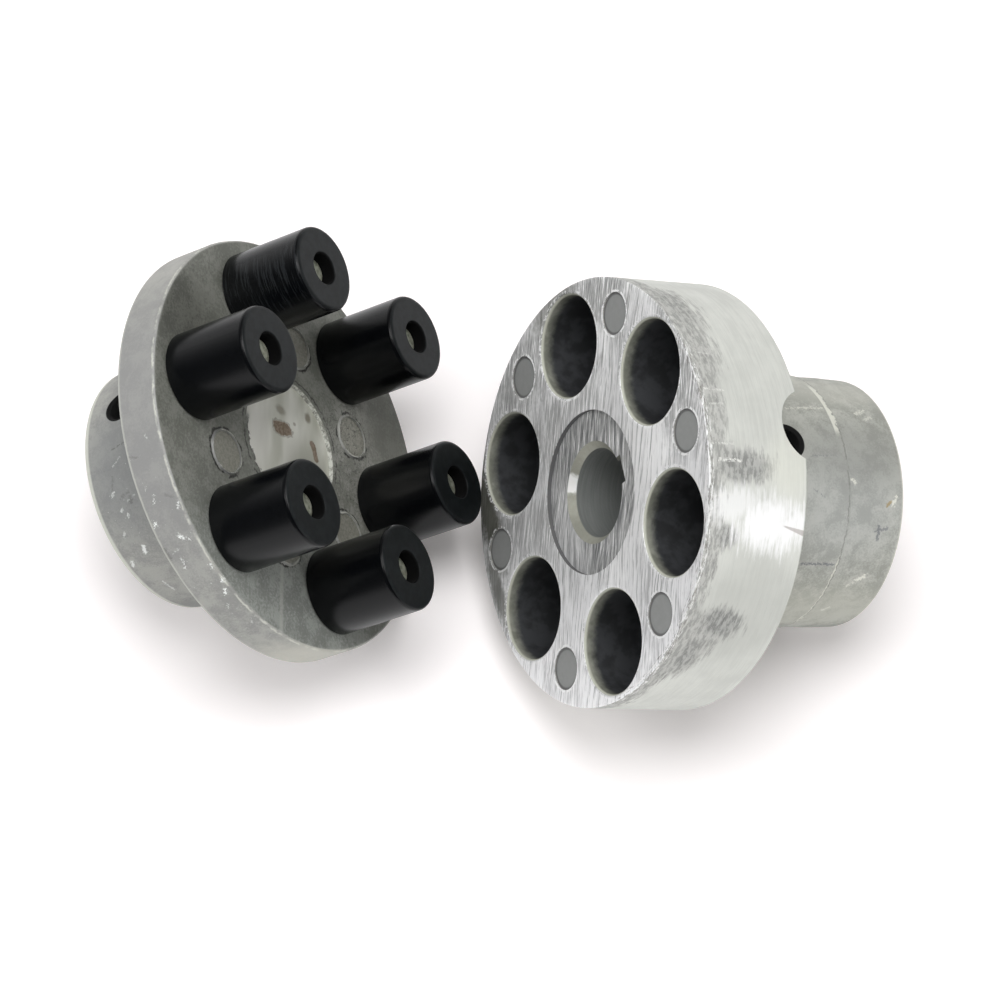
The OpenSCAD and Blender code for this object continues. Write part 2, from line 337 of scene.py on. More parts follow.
DULL_AND_SHADED_PLACES = [
    (-12, 54, 24, 6, 0.7), (-42, 28, 14, 26, 0.8), (-48, -10, 11, 24, 0.7), (6, 42, 9, 16, 0.45),
    (-24, -2, 8, 26, 0.5), (-24, -42, 16, 12, 0.5), (28, -1, 6, 8, 0.3), (-3, -28, 10, 8, 0.35),
]
PAINTED_HIGHLIGHT_PLACES = [
    (6, 31, 18, 10, 0.8), (-28, 22, 14, 7, 0.6), (20, 14, 12, 9, 0.6), (27, 4, 6, 9, 0.6),
    (-33, 44, 12, 6, 0.5), (-57, -3, 3, 6, 0.6),
]
SHADED_PLACES = [(-22, -51, 18, 5, 0.9), (-57, 6, 5, 12, 0.6), (0, -56, 12, 3, 0.7)]
MISSED_PATCHES = [
    (118, -4, 12, 8), (101, -2, 13, 7.5), (84, -2, 14, 5), (67.5, -11, 4.6, 10), (70, -3, 4, 6),
    (49, -6, 3.6, 4.5), (24, -11, 5.5, 8.5), (18, -8, 6, 6), (11, -5.5, 7, 6), (1, -1.5, 7, 2.5),
]
RIM_STAINS = [
    (67, -12, 4, 8, 0.6), (25, -13, 4, 6, 0.7), (13, -7, 5, 3, 0.5), (49, -7, 3, 3, 0.6),
    (118, -6, 9, 4, 0.3),
]
RIM_GLINTS = [
    ((92.0, -1.7), (91.8, -7.7), 0.1, 0.65), ((87.4, -2.2), (87.8, -7.3), 0.05, 0.5),
    ((76.2, -0.9), (76.4, -8.1), 0.1, 0.5), ((71.9, -3.3), (71.9, -10), 0.25, 0.8),
    ((104, -2), (103.5, -8), 0.0, 0.4), ((62, -2), (63, -9), 0.1, 0.4),
]


def socket_hub(t, at):
    """Cast hub with the mould's parting ridge, flash lines and casting marks, with painted light and shade
    round it, a painted shadow under the parting step and painted highlights on the ridge and the end edge.
    Colour and bump.
    """
    skin, grit = cast_skin(t, at.p, (0.33, 0.335, 0.3), (0.51, 0.515, 0.47))
    skin = t.toned(at.angle, at.z, skin, HUB_LIGHT_AND_SHADE)
    arc = arc_length(at.angle, HUB_ARC_R)
    step_z = STEP_FROM_END - SOCKET.length + 0.8
    from_step = at.z - step_z + at.wobble * 1.6
    # the parting ridge is raised in the bump; its pale colour is a painted highlight, only on the two sides
    # where it catches the light
    high_side = t.spot(at.angle, at.z, 108, -62, 16, 6, 0.2)
    low_side = t.spot(at.angle, at.z, 12, -62, 22, 6, 0.2)
    high_ridge = t.line(from_step - 0.6, 0.6 + at.wobble * 1.6, 0.4) * high_side
    low_ridge = t.line(from_step, 0.05, 0.3) * low_side
    # painted shadow: a dark broken line just below the parting step
    step_shadow = t.line(from_step + 0.3, 0.05, 0.35) * t.patchy(at.p, 0.25, 0.6, 0.36, 0.5)
    end_z = -SOCKET.length
    # painted highlight along the hub's end edge
    end_edge = t.step(at.z, end_z + 1.1, end_z + 0.5) * t.step(at.r, HUB_END_R - 3.5, HUB_END_R - 2)
    pale = t.strokes(arc, at.z, at.crumb * 1.7, PALE_HUB_MARKS)
    dark = t.strokes(arc, at.z, at.crumb, DARK_HUB_MARKS)
    rust = t.stroke(arc, at.z, (38.2, -76), (39, -77), 0.25, at.crumb)
    skin = t.layered(
        skin,
        (step_shadow * 0.55, (0.17, 0.17, 0.155)),
        (dark, (0.14, 0.15, 0.17)),
        (t.most(pale, high_ridge * 0.8, low_ridge * 0.75, end_edge * 0.7), (0.78, 0.78, 0.7)),
        (rust * 0.8, (0.36, 0.27, 0.12)),
    )
    return skin, grit * 0.7 + t.most(high_ridge, low_ridge) * 1.2


def sanded_metal(t, at):
    """The face and the recess floor, sanded in straight scratches, with duller places that also carry
    painted shade, and painted highlights.
    """
    lean = math.radians(SCRATCH_LEAN)
    along = at.x * math.cos(lean) + at.y * math.sin(lean)
    across = at.y * math.cos(lean) - at.x * math.sin(lean)
    wander = (t.noise(t.vec(along * 0.02, across * 0.05, 0.0), 1, 1) - 0.5) * 12.0
    streak = t.noise(t.vec(along * 0.05, across * 0.8 + wander, 3.0), 1, 3, 0.6)
    hair = t.noise(t.vec(along * 0.11, across * 2.2 + wander, 9.0), 1, 3, 0.7)
    gouge = t.patchy(t.vec(along * 0.07, across * 1.5 + wander, 15.0), 1, 0.65, 0.42, 0.37)
    # the brightest scratches are painted white: painted highlights along real scratches, on the face and
    # the recess floor
    flash = t.step(hair * 0.75 + streak * 0.25, 0.55, 0.6)
    scratch = streak * 0.45 + hair * 0.55
    cloud = t.noise(t.vec(at.x, at.y, 0.0), 0.05) - 0.5

    # duller, rougher places of the face, darkened further as painted shade
    dull_and_shaded = t.spots(at.x, at.y, at.wobble, DULL_AND_SHADED_PLACES)
    # painted highlights: the face turns white along the streaks in these places
    bright = t.spots(at.x, at.y, at.wobble, PAINTED_HIGHLIGHT_PLACES)
    shaded = t.spots(at.x, at.y, at.wobble, SHADED_PLACES)
    metal = t.mix(t.step(scratch + cloud * 0.3, 0.42, 0.54), (0.55, 0.55, 0.555), (0.93, 0.93, 0.94))
    dull_metal = t.mix(t.step(hair, 0.42, 0.58), (0.17, 0.175, 0.17), (0.5, 0.5, 0.49))
    face = t.layered(
        metal,
        (dull_and_shaded, dull_metal),
        (bright * t.step(streak, 0.36, 0.5), WHITE),
        (gouge * 0.6, (0.26, 0.26, 0.26)),
        (flash, WHITE),
        (shaded, (0.07, 0.072, 0.05)),
    )
    recess = t.mix(t.step(scratch, 0.42, 0.56), (0.2, 0.205, 0.21), (0.58, 0.58, 0.58))
    recess = t.mix(flash, recess, GLINT)
    recess = t.mix(t.spot(at.x, at.y, 4, -18, 16, 8, 0.6) * 0.5, recess, face)

    # painted highlights along the thin edges round the sockets, and thin bright rings round the ejector
    # marks
    lip = t.step(at.socket_d, SOCKET_MOUTH_R + 0.5, SOCKET_MOUTH_R + 0.1)
    lip = lip * t.patchy(at.p, 0.5, 0.8, 0.49, 0.55)
    from_ring = at.mark_d - (MARK_R + 0.35) + at.wobble * 0.7
    ring = t.line(from_ring, 0.15, 0.35) * t.patchy(at.p, 0.4, 0.7, 0.46, 0.52)
    face = t.layered(face, (lip * 0.8, GLINT), (ring * 0.9, (0.97, 0.97, 0.97)))
    return SimpleNamespace(face=face, recess=recess, dull_and_shaded=dull_and_shaded, scratch=scratch)


def turned_rim(t, at):
    """Turned flange rim with the cast skin that the tool missed near the face."""
    arc = arc_length(at.angle, SOCKET.flange_r)
    streak = t.noise(t.vec(arc * 0.05 + at.z * 0.01, at.z * 0.9, 5.0), 1, 3, 0.6)
    hair = t.noise(t.vec(arc * 0.16, at.z * 3.2, 2.0), 1, 3, 0.7)
    cloud = t.noise(at.p, 0.09, 3, 0.6)
    lustre = t.step(streak * 0.3 + cloud * 0.4 + hair * 0.3, 0.38, 0.62)
    turned = t.mix(lustre, (0.62, 0.63, 0.59), (0.72, 0.73, 0.685))
    turned = t.toned(at.angle, at.z, turned, [((28, -18), (16, 16), 0.5, (0.5, 0.51, 0.475))])

    brush = t.noise(t.vec(arc * 0.1, at.z * 0.9, 1.0), 1, 4, 0.72) - 0.5
    lump = t.noise(t.vec(arc * 0.11, at.z * 0.22, 1.0), 1, 3, 0.6) - 0.5
    ragged = brush * 2.2 + lump * 0.8
    band = t.step((at.z + 4.5) + lump * 7 + brush * 9, -0.9, 0.9)
    patches = [t.spot(at.angle, at.z, *patch, 0.25, ragged) for patch in MISSED_PATCHES]
    missed = t.most(band, *patches)
    grain = t.noise(t.vec(arc * 0.3, at.z * 0.8, 7.0), 1, 3, 0.72)
    grainy = t.step(grain, 0.42, 0.58)
    skin = t.mix(grainy, (0.31, 0.31, 0.295), (0.52, 0.52, 0.495))
    stained = t.mix(grainy, (0.14, 0.145, 0.14), (0.34, 0.34, 0.33))
    skin = t.mix(t.spots(at.angle, at.z, ragged * 0.8, RIM_STAINS), skin, stained)

    # painted highlight band at the right, painted glints in the missed skin and a dark wedge at the back
    torn = brush * 2.6 + lump
    painted_highlight_band = t.most(
        t.spot(at.angle, at.z, 52.5, -21, 6.5, 12, 0.5, torn),
        t.spot(at.angle, at.z, 57, -8, 4.5, 10, 0.5, torn) * 0.7,
    )
    glints = t.strokes(arc, at.z, at.crumb * 0.5, RIM_GLINTS) * t.patchy(at.p, 1.2, 0.8, 0.42, 0.56, 2)
    from_wedge = at.angle - 52.4 - (at.z + 24.5) * 0.25
    half_wedge = t.math("MAXIMUM", (at.z + 24.3) * -0.09, 0.0)
    wedge = t.step(t.math("ABSOLUTE", from_wedge) - half_wedge, 0.25, 0.0) * t.step(at.z, -24.0, -25.5)
    rim = t.layered(
        turned,
        (missed * t.span(brush, -0.15, 0.15, 0.7, 1.0), skin),
        (painted_highlight_band * 0.9, GLINT),
        (t.spot(at.angle, at.z, 68, -26, 8, 7, 0.6) * 0.4, (0.85, 0.86, 0.76)),
        (glints, (0.9, 0.9, 0.86)),
        (wedge * 0.6, (0.36, 0.31, 0.29)),
    )
    bump = hair * 0.3 + band * (grain * 0.8 - 0.4)
    return SimpleNamespace(colour=rim, missed=missed, bump=bump)


def torn_edge(t, at):
    """Bright tears and dark nicks where the face meets the rim."""
    arc = arc_length(at.angle, SOCKET.flange_r)
    tear = t.noise(t.vec(arc * 0.3, at.z * 1.8, at.r * 1.8), 1, 3, 0.75)
    edge = SOCKET.flange_r
    at_edge = t.step(at.r + at.z, edge - 2, edge - 1.1) * t.spot(at.angle, at.z, 46, 0, 62, 9, 0.3)
    return t.step(tear, 0.53, 0.58) * at_edge, t.step(tear, 0.44, 0.39) * at_edge


def socket_wall(t, at):
    """Wall of a socket: paler where its mouth catches the light and darker deeper in, painted light and
    shade on the dark cast skin.
    """
    haze = t.patchy(at.p, 0.16, 0.65, 0.4, 0.6)
    pale = t.mix(haze, (0.2, 0.205, 0.17), (0.29, 0.295, 0.25))
    pale = t.mix(t.step(at.z, -0.4, -1.2), (0.46, 0.465, 0.395), pale)
    dark = t.mix(haze, (0.022, 0.023, 0.025), (0.042, 0.044, 0.048))
    return t.mix(t.step(at.z + at.wobble * 2.0, -0.8, -4.6), pale, dark)


def socket_bore(t, at, chamfer):
    """Bored wall with a chamfer that carries a painted highlight at one side."""
    rings = t.noise(t.vec(at.angle * 0.02, at.z * 1.4, 0.0), 1, 3)
    wall = t.mix(rings, (0.14, 0.15, 0.145), (0.26, 0.27, 0.26))
    edge = t.mix(at.wobble + 0.5, (0.28, 0.28, 0.235), (0.4, 0.4, 0.345))
    # painted highlight on one side of the chamfer
    edge = t.mix(t.spot(at.angle, at.z, -130, -2.5, 11, 6, 0.3, at.wobble), edge, (0.98, 0.98, 0.96))
    return t.mix(chamfer, wall, edge)


def socket_half_material():
    t = Tree(bpy.data.materials.new("socket_half_aluminium"))
    at = t.local(SOCKET)
    at.socket_d = t.fold(at, SOCKET.first_place, PLACE_CIRCLE_R)
    at.mark_d = t.fold(at, SOCKET.first_place + 180 / PLACES, SOCKET_MARK_CIRCLE_R)
    at.wobble = t.noise(at.p, 0.6, 3, 0.6) - 0.5
    at.crumb = (t.noise(at.p, 1.6, 2, 0.8) - 0.5) * 2.4
    hub, hub_bump = socket_hub(t, at)
    sanded = sanded_metal(t, at)
    rim = turned_rim(t, at)
    torn, nick = torn_edge(t, at)

    # where each surface is, in mm along and across the axis
    rim_r, back_z = SOCKET.flange_r, -SOCKET.flange_t
    recess_r, recess_z, mark_z, floor_z = SOCKET_RECESS_R, -RECESS_DEPTH, -MARK_DEPTH, -SOCKET_DEPTH
    chamfer_z = recess_z - BORE_MOUTH
    level = t.math("ABSOLUTE", at.facing)
    on_face = t.step(at.z, -0.3, -0.12)
    on_rim = t.step(at.r, rim_r - 1.4, rim_r - 0.7) * t.step(at.z, back_z + 0.4, back_z + 0.8)
    on_mark = t.between(at.z, mark_z - 0.3, mark_z - 0.15, mark_z + 0.04, mark_z + 0.15)
    on_mark = on_mark * t.step(at.facing, 0.9, 0.97)
    on_recess = t.step(at.z, recess_z + 0.25, recess_z + 0.1) * t.step(at.r, recess_r + 1.5, recess_r + 0.5)
    on_recess = on_recess * t.step(at.facing, 0.85, 0.95)
    recess_wall = t.between(at.r, recess_r - 0.6, recess_r - 0.2, recess_r + 0.2, recess_r + 0.6)
    recess_wall = recess_wall * t.between(at.z, recess_z - 0.3, recess_z, -0.3, -0.1)
    in_socket = t.step(at.socket_d, SOCKET_MOUTH_R + 0.1, SOCKET_MOUTH_R - 0.3)
    in_socket = in_socket * t.between(at.z, floor_z - 1, floor_z - 0.3, -0.4, -0.12)
    in_bore = t.step(at.r, BORE_R + 5, BORE_R + 4) * t.step(at.z, -1.2, -1.7)
    in_bore = in_bore * t.step(level, 0.95, 0.85)
    chamfer = in_bore * t.step(at.z, chamfer_z - 0.2, chamfer_z + 0.2)
    in_screw_hole = t.screw_hole(SOCKET)
    key_side = t.spot(at.angle, at.z, 86, -2, 16, 3, 0.3)
    key_edge = t.line(at.r - (BORE_R + 0.4), 0.3, 0.4) * t.step(at.facing, 0.7, 0.2) * key_side

    mark = t.mix(at.wobble + 0.5, (0.19, 0.195, 0.19), (0.24, 0.245, 0.24))
    mark = t.mix(t.line(at.mark_d - (MARK_R - 0.3), 0.2, 0.5), mark, (0.11, 0.11, 0.11))
    colour = t.layered(
        hub,
        (on_rim, rim.colour),
        (on_face, sanded.face),
        (on_mark, mark),
        # painted shade on the recess's wall
        (recess_wall, (0.13, 0.13, 0.13)),
        (on_recess, sanded.recess),
        (in_bore, socket_bore(t, at, chamfer)),
        (key_edge * 0.6, (0.8, 0.8, 0.8)),
        (nick * 0.7, (0.16, 0.14, 0.12)),
        (torn * 0.8, (0.96, 0.96, 0.95)),
        # painted light and shade on the sockets' walls, darker deeper in
        (in_socket, socket_wall(t, at)),
        (in_screw_hole, SCREW_SHADE),
    )

    clean_rim = on_rim * (1.0 - rim.missed)
    bare = t.most(on_face * (1.0 - sanded.dull_and_shaded), on_recess, clean_rim * 0.45, chamfer)
    rough = t.lerp(in_screw_hole, t.lerp(bare, 0.6, 0.45), 0.95)
    metal = t.lerp(bare, 0.25, 0.5) * (1.0 - in_socket) * (1.0 - on_mark) * (1.0 - in_screw_hole)
    bump = t.lerp(on_rim, hub_bump, rim.bump)
    bump = t.lerp(t.math("MAXIMUM", on_face, on_recess), bump, sanded.scratch * 1.6)
    bump = bump * (1.0 - on_mark * 0.9) * (1.0 - in_socket)
    return t.surface(colour, rough, metal, bump, 0.5, 0.0003)


# Pin half, its bushes and pins

RIM_DINGS = [
    ((139.4, -10.8), (140.0, -11.2), 0.45, 1.0), ((144.6, -5.4), (145.6, -4.6), 0.4, 1.0),
    ((146.0, -3.6), (146.8, -2.6), 0.15, 0.8), ((160.3, -0.6), (161.6, -1.0), 0.35, 1.0),
    ((164.4, -2.3), (165.2, -2.9), 0.5, 1.0), ((129.2, -9.3), (130.2, -9.9), 0.0, 0.5),
    ((132.2, -7.8), (134, -8.6), 0.1, 0.6), ((151.0, -8.2), (154.0, -9.0), 0.2, 0.8),
    ((169.4, -4.9), (170.6, -5.7), 0.2, 0.6), ((136.0, -1.2), (137.4, -1.8), 0.2, 0.8),
    ((155.2, -1.1), (156.4, -1.4), 0.3, 0.8), ((177, -2.6), (178.2, -3.4), 0.1, 0.5),
    ((148, -7), (149, -10), -0.1, 0.4), ((116, -5.2), (116.6, -4.8), 0.0, 0.4),
]
HUB_SCUFFS = [
    ((83.4, -35.2), (84.4, -35.8), 0.1, 0.6), ((76.4, -37.6), (77.2, -38.6), 0.1, 0.6),
    ((94.2, -36.0), (96.0, -36.4), 0.4, 0.9), ((81.4, -36.6), (82.4, -37.2), 0.0, 0.6),
    ((88.6, -39.6), (89.6, -40.2), 0.1, 0.5), ((98.0, -42.6), (99.2, -43.0), 0.3, 0.7),
    ((108, -38.9), (113, -38.4), 0.1, 0.5), ((67, -33), (69, -36), -0.1, 0.4),
    ((79, -31), (80, -34), -0.1, 0.4),
]
DARK_HUB_STAINS = [
    ((63.2, -31.0), (64.0, -35.5), -0.05, 0.7), ((79.5, -32.6), (80.5, -33.0), 0.5, 0.5),
    ((77.6, -32.4), (78.6, -36.0), 0.1, 0.4), ((72.0, -36.8), (75.6, -38.0), 0.05, 0.4),
]
DARK_RIM_STAINS = [
    ((147, -12), (150, -11.6), 0.4, 0.5), ((120, -12), (121, -9.4), 0.05, 0.4),
    ((133, -4), (134, -2), 0.2, 0.3),
]
# Painted light and shade round the pin half's rim and hub: darker over the left side, lighter at the top
# and at the bottom of the rim
CAST_LIGHT_AND_SHADE = [
    ((105, -8), (36, 16), 0.6, (0.3, 0.3, 0.3)),
    ((110, -33), (30, 14), 0.6, (0.235, 0.245, 0.248)),
    ((30, -6), (34, 9), 0.4, (0.5, 0.49, 0.46)),
    ((196, -8), (14, 12), 0.7, (0.6, 0.59, 0.52)),
]
FLOOR_SPECKS = [(10.3, 2.9, 1.3, 2.2, 0.6), (13.2, -9.8, 1.6, 1.3, 0.8), (8.5, -3.7, 0.5, 0.6, 0.6)]


def pin_casting(t, at):
    """Cast rim and hub with painted light and shade, stains, dings, specks and painted highlights along the
    thin edges. Colour and bump.
    """
    skin, grit = cast_skin(t, at.p, (0.285, 0.287, 0.274), (0.39, 0.39, 0.364))
    skin = t.toned(at.turn, at.z, skin, CAST_LIGHT_AND_SHADE)
    rim_r, back_z, end_z = PIN.flange_r, -PIN.flange_t, -PIN.length
    on_rim = t.step(at.r, rim_r - 4.5, rim_r - 2.5)
    on_hub = 1.0 - on_rim
    on_edge = t.step(at.r, rim_r - 1.5, rim_r - 0.7)
    rim_arc = arc_length(at.turn, PIN.flange_r)
    hub_arc = arc_length(at.turn, HUB_ARC_R)
    dings = t.strokes(rim_arc, at.z, at.crumb * 1.6 + 0.25, RIM_DINGS) * on_rim
    scuffs = t.strokes(hub_arc, at.z, at.crumb, HUB_SCUFFS) * on_hub
    stains = t.most(
        t.strokes(hub_arc, at.z, at.crumb, DARK_HUB_STAINS) * on_hub,
        t.strokes(rim_arc, at.z, at.crumb, DARK_RIM_STAINS) * on_rim,
    )
    specks = t.patchy(at.p, 1.3, 0.5, 0.73, 0.77, detail=2) * t.spot(at.turn, at.z, 150, -20, 45, 34, 0.5)
    # painted highlights along the rim's front and back edges and the hub's end edge
    front_edge = t.line(at.z + 0.6 + at.wobble, 0.05, 0.35) * on_edge * t.patchy(at.p, 0.18, 0.6, 0.4, 0.56)
    back_edge = t.line(at.z - (back_z + 0.6) + at.wobble * 0.5, 0.2, 0.5) * on_edge
    hub_edge = t.step(at.z, end_z + 2, end_z + 1.3) * t.step(at.r, HUB_END_R - 2, HUB_END_R - 1.1)
    skin = t.layered(
        skin,
        (stains, (0.13, 0.13, 0.125)),
        (t.most(dings, scuffs, specks * 0.7), (0.84, 0.86, 0.84)),
        (t.most(front_edge * 0.7, back_edge * 0.4, hub_edge * 0.8), (0.66, 0.67, 0.6)),
    )
    return skin, grit * 0.8


def pin_face(t, at):
    """Cast olive face with crazing round the recess and the ejector marks. Colour and bump."""
    dapple = t.step(t.noise(at.p, 0.11, 4, 0.65) * 0.6 + at.fine * 0.4, 0.42, 0.58)
    face = t.mix(dapple, (0.155, 0.16, 0.138), (0.235, 0.24, 0.213))
    # lighter and darker patches across the face: painted light and shade
    face = t.toned(at.x, at.y, face, [
        ((-48, 4), (18, 40), 0.75, t.mix(dapple, (0.24, 0.252, 0.235), (0.37, 0.39, 0.365))),
        ((4, -31), (22, 13), 0.7, t.mix(dapple, (0.2, 0.203, 0.175), (0.33, 0.33, 0.295))),
        ((20, 48), (14, 12), 0.7, t.mix(dapple, (0.06, 0.062, 0.052), (0.11, 0.112, 0.095))),
        ((24, -46), (11, 13), 0.6, (0.085, 0.086, 0.07)),
    ], at.rag)
    seam = t.line(at.y - 3.0 - at.wobble * 0.8, 0.3, 0.9) * t.step(at.x, -36, -39)
    crazed = t.spot(at.x, at.y, 8, -26, 20, 12, 0.4)
    cracks = t.line(t.noise(at.p, 0.3, 3, 0.7) - 0.5, 0.006, 0.012) * crazed
    mark_d = t.fold(at, PIN.first_place + 180 / PLACES, PIN_MARK_CIRCLE_R)
    mark = t.mix(t.step(at.fine, 0.4, 0.6), (0.22, 0.216, 0.18), (0.29, 0.284, 0.238))
    on_mark = t.step(mark_d + at.rag * 1.5, MARK_R + 0.1, MARK_R - 0.4)
    from_dark = mark_d - (MARK_R + 1.1) + at.rag * 3.0
    dark_ring = t.line(from_dark, 0.2, 0.35) * t.patchy(at.p, 0.2, 0.7, 0.42, 0.52)
    from_light = mark_d - (MARK_R + 0.3) + at.rag * 1.6
    light_ring = t.line(from_light, 0.1, 0.4) * t.patchy(t.vec(at.x, at.y, 7.0), 0.2, 0.7, 0.46, 0.58)
    from_recess = at.r - (PIN_RECESS_R + 1.4) - at.rag * 3.0
    round_recess = t.line(from_recess, 0.1, 0.3) * t.patchy(at.p, 0.14, 0.7, 0.42, 0.52)
    face = t.layered(
        face,
        (seam * 0.5, (0.45, 0.45, 0.42)),
        (on_mark * 0.75, mark),
        (t.most(cracks * 0.7, dark_ring) * 0.9, (0.02, 0.02, 0.018)),
        (light_ring * 0.8, (0.58, 0.58, 0.53)),
        (round_recess * 0.8, (0.035, 0.035, 0.03)),
    )
    return face, light_ring * 0.8 - cracks * 0.6 - dark_ring


def pin_recess(t, at):
    """Machined recess floor with brown pits. Colour and the mask of the pits."""
    cloud = t.noise(t.vec(at.x * 0.3, at.y, at.z), 0.12)
    floor = t.mix(t.step(cloud, 0.35, 0.65), (0.52, 0.525, 0.455), (0.8, 0.8, 0.74))
    floor = t.mix(t.spot(at.x, at.y, -3, 12, 10, 5, 0.7) * 0.6, floor, (0.78, 0.77, 0.72))
    floor = t.mix(t.spot(at.x, at.y, -8, -9, 13, 10, 0.6) * 0.8, floor, (0.3, 0.3, 0.25))
    slanted = at.x + at.y * 0.12
    ragged = at.rag * 1.2
    large_pit = t.spot(slanted, at.y, 5.0, 1.8, 2.2, 4.4, 0.12, ragged)
    pits = t.most(large_pit, t.stroke(at.x, at.y, (1.6, -14.0), (5.6, -12.0), 0.9, at.rag * 2))
    pit_edge = t.line(t.spot(slanted, at.y, 5.0, 1.8, 2.5, 4.8, 0.12, ragged) - 0.5, 0.2, 0.2)
    brown = t.mix(t.step(at.fine, 0.4, 0.6), (0.17, 0.13, 0.09), (0.26, 0.205, 0.155))
    floor = t.layered(
        floor,
        (pits, brown),
        (t.spots(at.x, at.y, at.rag, FLOOR_SPECKS), (0.2, 0.175, 0.125)),
        (pit_edge * 0.5, (0.16, 0.14, 0.1)),
    )
    return floor, pits


def pin_half_material():
    t = Tree(bpy.data.materials.new("pin_half_aluminium"))
    at = t.local(PIN)
    at.turn = t.math("FLOORED_MODULO", at.angle, 360.0)
    at.wobble = t.noise(at.p, 0.6, 3, 0.6) - 0.5
    at.crumb = (t.noise(at.p, 1.6, 2, 0.8) - 0.5) * 2.4
    at.rag = t.noise(at.p, 0.35, 4, 0.7) - 0.5
    at.fine = t.noise(at.p, 1.2, 2, 0.7)
    skin, skin_bump = pin_casting(t, at)
    face, face_bump = pin_face(t, at)
    floor, pits = pin_recess(t, at)

    # where each surface is, in mm along and across the axis
    rim_r, recess_r, recess_z = PIN.flange_r, PIN_RECESS_R, -RECESS_DEPTH
    level = t.math("ABSOLUTE", at.facing)
    on_face = t.step(at.z, -0.5, -0.1) * t.step(at.r, rim_r - 0.2, rim_r - 0.9)
    on_face = on_face * t.step(at.facing, 0.8, 0.95)
    on_recess = t.step(at.z, recess_z + 0.25, recess_z + 0.1) * t.step(at.r, recess_r + 1, recess_r + 0.2)
    on_recess = on_recess * t.step(at.facing, 0.85, 0.95)
    recess_wall = t.between(at.r, recess_r - 0.6, recess_r - 0.2, recess_r + 0.2, recess_r + 0.5)
    recess_wall = recess_wall * t.between(at.z, recess_z - 0.4, recess_z - 0.1, -0.2, -0.05)
    in_bore = t.step(at.r, BORE_R + 4.5, BORE_R + 3.5) * t.step(at.z, -4.0, -6.0)
    in_bore = in_bore * t.step(level, 0.95, 0.85)
    in_screw_hole = t.screw_hole(PIN)

    # cast skin overlaps the recess floor at one side
    skin_side = t.spot(at.turn, at.z, 118, -1.5, 34, 20, 0.2)
    torn_r = at.r + at.rag * 7.0
    overlap = t.step(torn_r, 17.2, 17.5) * skin_side
    overlap_edge = t.line(torn_r - 17.3, 0.1, 0.4) * skin_side

    wall = t.mix(t.patchy(at.p, 0.6, 0.75, 0.4, 0.6), (0.3, 0.3, 0.27), (0.8, 0.81, 0.76))
    colour = t.layered(
        skin,
        (on_face, face),
        (recess_wall * 0.9, wall),
        (on_recess * (1.0 - overlap), floor),
        (on_recess * overlap, face),
        (on_recess * overlap_edge * 0.8, (0.04, 0.038, 0.032)),
        (in_bore, (0.4, 0.4, 0.39)),
        (in_screw_hole, SCREW_SHADE),
    )
    smooth = on_recess * (1.0 - overlap) * (1.0 - pits)
    rough = t.lerp(in_screw_hole, t.lerp(smooth, 0.6, 0.5), 0.95)
    metal = t.lerp(smooth, 0.25, 0.5) * (1.0 - in_screw_hole)
    bump = (skin_bump + face_bump) * (1.0 - smooth * 0.8)
    return t.surface(colour, rough, metal, bump, 0.5, 0.0004)


def rubber_material():
    """Black rubber, duller at the ends, with turned rings on the topmost bush that carry a painted sheen,
    and painted shade in the pins' holes.
    """
    t = Tree(bpy.data.materials.new("bush_rubber"))
    at = t.local(PIN)
    on_end = t.step(at.z, BUSH_LENGTH - 0.6, BUSH_LENGTH - 0.15)
    # painted shade: the bush's wall inside the pin's hole is black and fully rough
    in_hole = t.step(t.fold(at, PIN.first_place, PLACE_CIRCLE_R), PIN_R + 0.5, PIN_R + 0.2)
    mottle = t.noise(at.p, 0.5, 4, 0.6)
    grain = t.noise(at.p, 3.0, 3, 0.6)
    rings = t.noise(t.vec(at.x * 0.1, at.y * 0.1, at.z * 1.6), 1, 4, 0.75)
    # painted sheen: the rings are paler in one patch of the topmost bush
    ring_sheen = t.step(rings, 0.52, 0.6) * t.spot(at.x, at.y, 40, 23, 13, 13, 0.4)
    side = t.mix(mottle, (0.001, 0.0012, 0.0015), (0.003, 0.0036, 0.0045))
    end = t.mix(t.step(mottle, 0.4, 0.6), (0.004, 0.0055, 0.006), (0.008, 0.01, 0.011))
    colour = t.layered(
        side,
        (ring_sheen * (1.0 - on_end) * 0.5, (0.03, 0.033, 0.036)),
        (on_end, end),
        (in_hole, (0.0, 0.0, 0.0)),
    )
    rough = t.lerp(in_hole, t.lerp(on_end, 0.24, 0.5), 1.0)
    bump = grain * 0.12 + rings * (1.0 - on_end) * 0.5
    return t.surface(colour, rough, 0.0, bump, 0.15, 0.0002, **{"Specular IOR Level": 0.25})


def pin_material():
    """Dull olive steel of the drive pins."""
    t = Tree(bpy.data.materials.new("pin_steel"))
    mottle = t.noise(t.local(PIN).p, 0.8, 4, 0.6)
    colour = t.mix(t.step(mottle, 0.35, 0.65), (0.17, 0.18, 0.14), (0.34, 0.35, 0.28))
    return t.surface(colour, 0.5, 0.3, mottle, 0.3, 0.0002)


def screw_material():
    """Blackened steel of the set screws."""
    t = Tree(bpy.data.materials.new("black_steel"))
    mottle = t.noise(t.out("ShaderNodeTexCoord", "Object"), 900.0, 3, 0.6)
    colour = t.mix(mottle, (0.002, 0.002, 0.0025), (0.008, 0.008, 0.009))
    return t.surface(colour, 0.5, 0.2, mottle, 0.2, 0.0001, **{"Specular IOR Level": 0.2})


def paint(material, *names):
    for name in names:
        slots = nodes[name].data.materials
        slots.clear()
        slots.append(material)


# Floor, light and camera. Places and lengths are in metres, angles in degrees

FLOOR_HALF = 4.0
